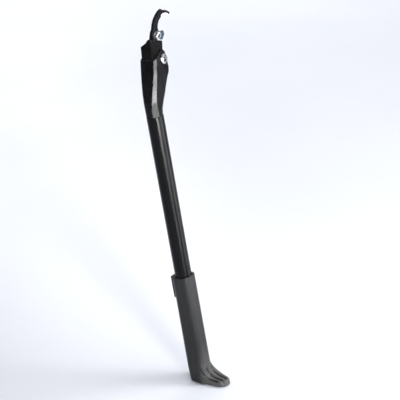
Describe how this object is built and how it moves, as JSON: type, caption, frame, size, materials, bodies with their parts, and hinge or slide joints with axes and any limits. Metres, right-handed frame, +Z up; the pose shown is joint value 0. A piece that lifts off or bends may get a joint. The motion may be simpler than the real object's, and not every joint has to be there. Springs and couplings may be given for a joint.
{
  "type": "bicycle kickstand",
  "caption": "Adjustable side kickstand: axle hook and knuckle, folding fork on a bright pivot, fluted tube, and a sliding sleeve with a toed foot and a release lever.",
  "frame": {"origin": "centre of the axle hook, in the middle of the hook plate's thickness", "axes": "+X towards the back of the bicycle, +Y inboard towards the wheel, +Z up; the bicycle leans 9 degrees onto the stand and the foot is flat on the ground at z = -0.368 m"},
  "size_m": [0.0432, 0.109, 0.3827],
  "materials": {
    "hook_black": "satin black coating over forged steel",
    "liner_light": "light polymer lining",
    "insert_teal": "blue-teal coating",
    "bolt_bright": "bright plated",
    "washer_bright": "bright plated",
    "washer_dark": "oiled hardened steel",
    "knuckle_black": "satin black over cast alloy",
    "insert_steel": "stainless",
    "bush_bronze": "sintered bronze",
    "housing_black": "satin black over cast alloy",
    "tube_black": "gloss black anodised",
    "pin_steel": "blackened steel",
    "plug_black": "moulded acetal",
    "pivot_bright": "bright plated",
    "nut_steel": "zinc plated",
    "washer_nylon": "natural nylon",
    "seat_steel": "turned steel",
    "spring_steel": "spring steel",
    "plunger_steel": "ground steel",
    "sleeve_grey": "fine-grained moulded nylon",
    "sole_rubber": "ribbed rubber",
    "lever_black": "moulded nylon",
    "lock_steel": "ground steel"
  },
  "bodies": {
    "hook": {"hook_plate": "hook_black", "hook_liner": "liner_light", "lip_insert": "insert_teal", "angle_bolt": "bolt_bright", "bolt_washer": "washer_bright", "serrated_washer": "washer_dark"},
    "knuckle": {"knuckle": "knuckle_black", "thread_insert": "insert_steel", "pivot_bush": "bush_bronze"},
    "leg": {"fork_housing": "housing_black", "leg_tube": "tube_black", "tube_pin_upper": "pin_steel", "tube_pin_lower": "pin_steel", "tube_plug": "plug_black", "pivot_bolt": "pivot_bright", "pivot_nut": "nut_steel", "washer_outer": "washer_nylon", "washer_inner": "washer_nylon", "spring_seat": "seat_steel", "detent_spring": "spring_steel"},
    "plunger": {"detent_plunger": "plunger_steel"},
    "foot": {"foot_sleeve": "sleeve_grey", "sole_pad": "sole_rubber", "lever_housing": "sleeve_grey", "lever_axle": "pin_steel", "lever_spring": "spring_steel"},
    "lever": {"adjust_lever": "lever_black", "lock_pin": "lock_steel"}
  },
  "joints": [
    {"name": "angle_adjust", "type": "hinge", "parent": "hook", "child": "knuckle", "pos_m": [-0.01, 0.0015, -0.00948], "axis": [0, -0.9877, -0.1564], "range_deg": [-8, 0]},
    {"name": "leg_fold", "type": "hinge", "parent": "knuckle", "child": "leg", "pos_m": [-0.0078, 0.00297, -0.03443], "axis": [0, -0.9816, 0.1908], "range_deg": [0, 95]},
    {"name": "detent_slide", "type": "slide", "parent": "leg", "child": "plunger", "axis": [-0.3201, -0.1808, -0.93], "range_m": [0, 0.0015], "stiffness_N_per_m": 1500, "springref_m": -0.004, "deforming": ["detent_spring"]},
    {"name": "height_adjust", "type": "slide", "parent": "leg", "child": "foot", "axis": [0, -0.1908, -0.9816], "range_m": [-0.02, 0.04]},
    {"name": "lever_rock", "type": "hinge", "parent": "foot", "child": "lever", "pos_m": [-0.0238, -0.02946, -0.26203], "axis": [1, 0, 0], "range_deg": [0, 12], "stiffness_Nm_per_rad": 0.02, "springref_deg": -28.65, "deforming": ["lever_spring"]}
  ]
}
